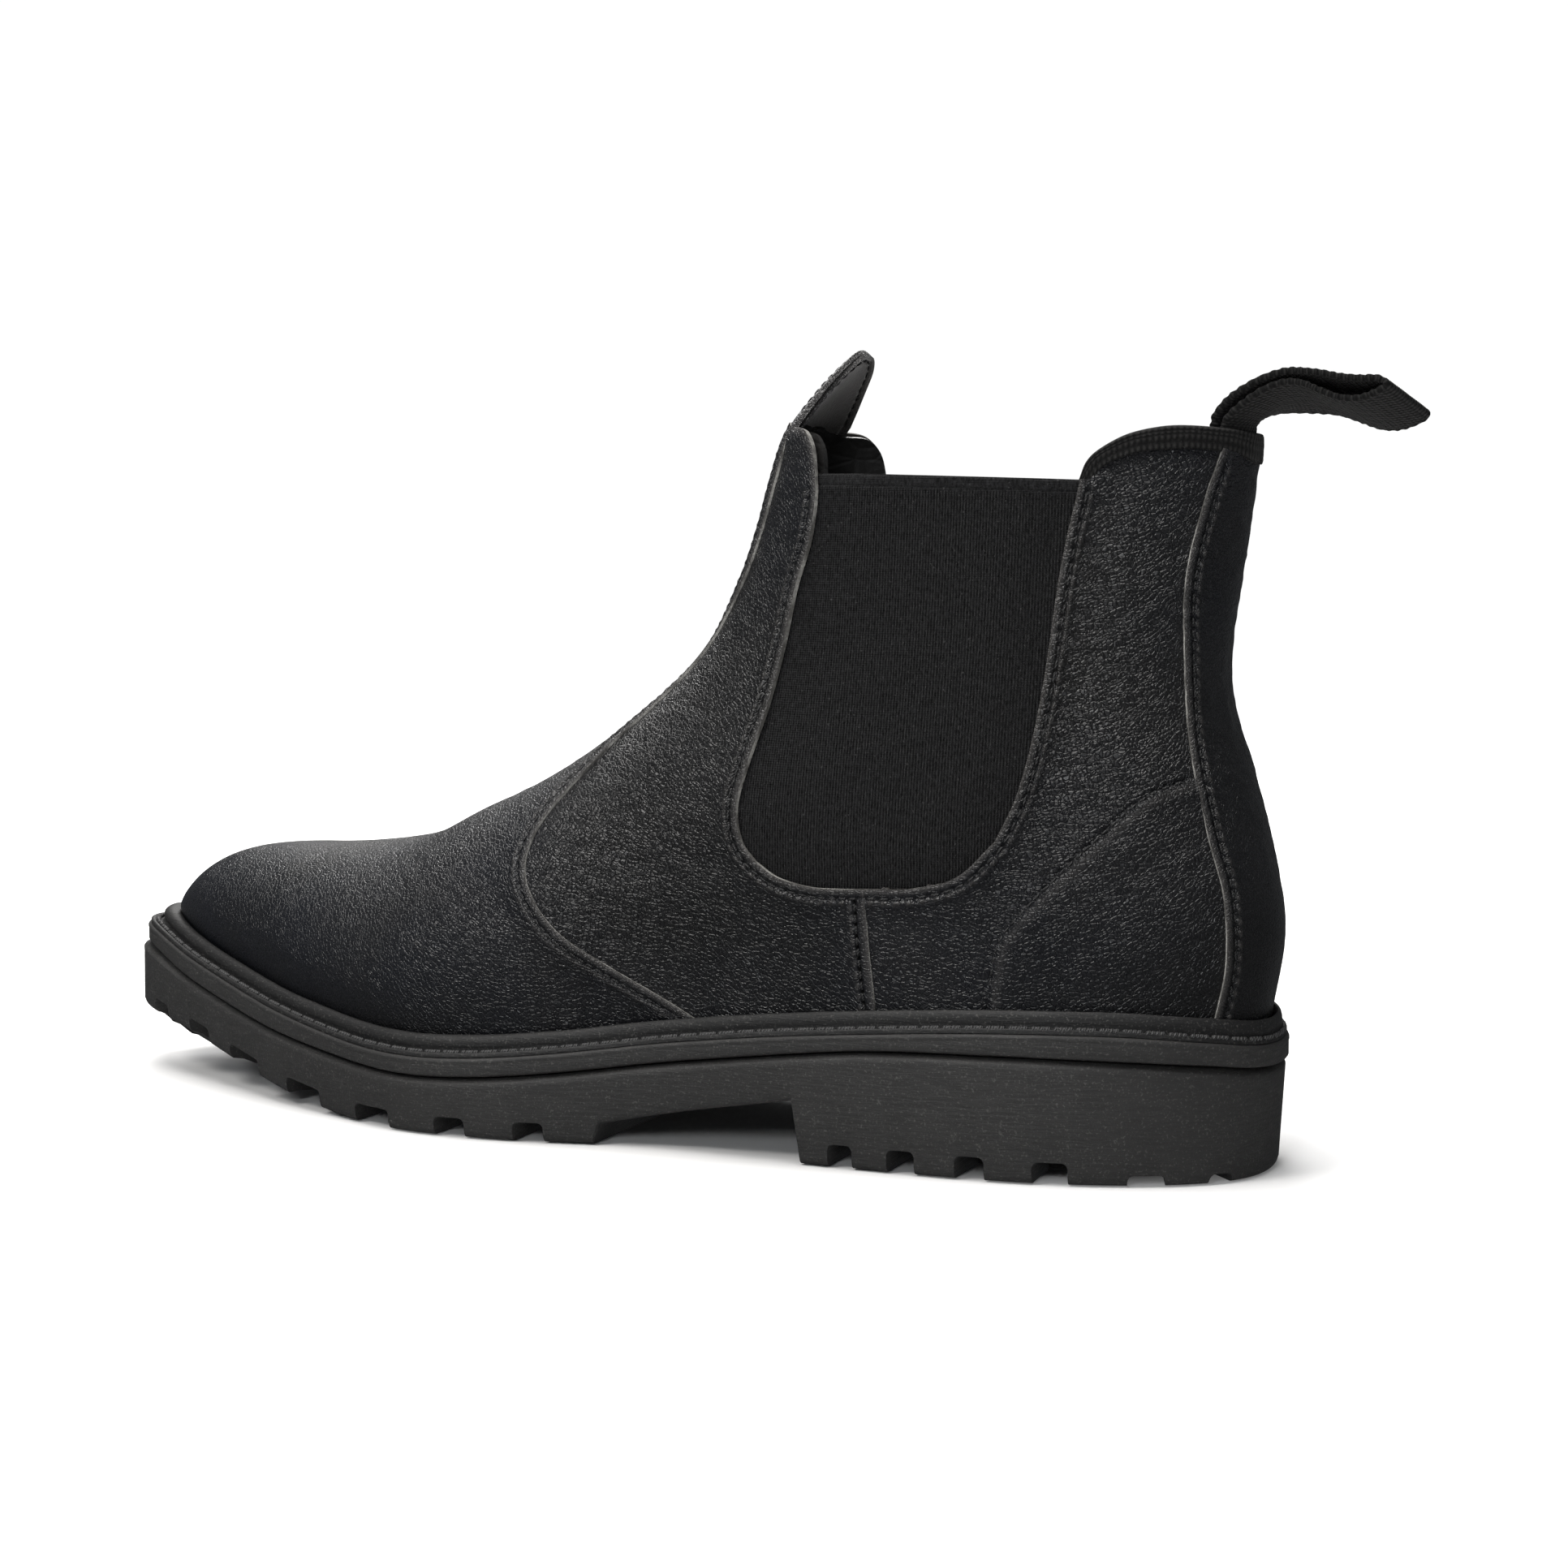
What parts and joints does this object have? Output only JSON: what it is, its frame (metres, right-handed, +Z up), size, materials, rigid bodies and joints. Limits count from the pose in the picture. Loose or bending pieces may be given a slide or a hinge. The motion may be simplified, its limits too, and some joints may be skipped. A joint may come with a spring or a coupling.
{
  "type": "chelsea boot",
  "caption": "Left ankle boot with elastic side gores, a lugged rubber sole, a heel pull loop and a pointed front tab.",
  "frame": {"origin": "on the ground under the middle of the heel", "axes": "+X towards the toe, +Y the wearer's left, the outer side of this left boot, +Z up"},
  "size_m": [0.3397, 0.0978, 0.1826],
  "materials": {
    "upper_leather": "semi-matte black grain leather",
    "elastic": "ribbed black elastic",
    "lining_leather": "smooth black lining leather",
    "suede": "napped dark grey suede",
    "webbing": "woven black tape",
    "sole_rubber": "matte black rubber with a fine speckle",
    "fibre_board": "pressed brown fibre board",
    "cork": "granular cork",
    "shank_steel": "plain spring steel"
  },
  "bodies": {
    "boot": {"outsole": "sole_rubber", "midsole": "sole_rubber", "storm_welt": "sole_rubber", "shank": "shank_steel", "bottom_filler": "cork", "insole_board": "fibre_board", "footbed": "suede", "toe_puff": "fibre_board", "heel_counter": "fibre_board", "vamp": "upper_leather", "front_quarter_lateral": "upper_leather", "front_quarter_medial": "upper_leather", "rear_quarter_lateral": "upper_leather", "rear_quarter_medial": "upper_leather", "backstay": "upper_leather", "gore_lateral": "elastic", "gore_medial": "elastic", "front_lining": "lining_leather", "rear_lining": "lining_leather", "heel_grip": "suede", "collar_binding": "webbing"},
    "loop": {"pull_loop": "webbing"},
    "tab": {"front_tab": "upper_leather", "tab_lining": "lining_leather"}
  },
  "joints": [
    {"name": "loop_swing", "type": "hinge", "parent": "boot", "child": "loop", "pos_m": [-0.0405, 0, 0.1646], "axis": [0, 1, 0], "range_deg": [-20, 30]},
    {"name": "tab_bend", "type": "hinge", "parent": "boot", "child": "tab", "pos_m": [0.0644, 0, 0.166], "axis": [0, 1, 0], "range_deg": [-20, 35]}
  ]
}
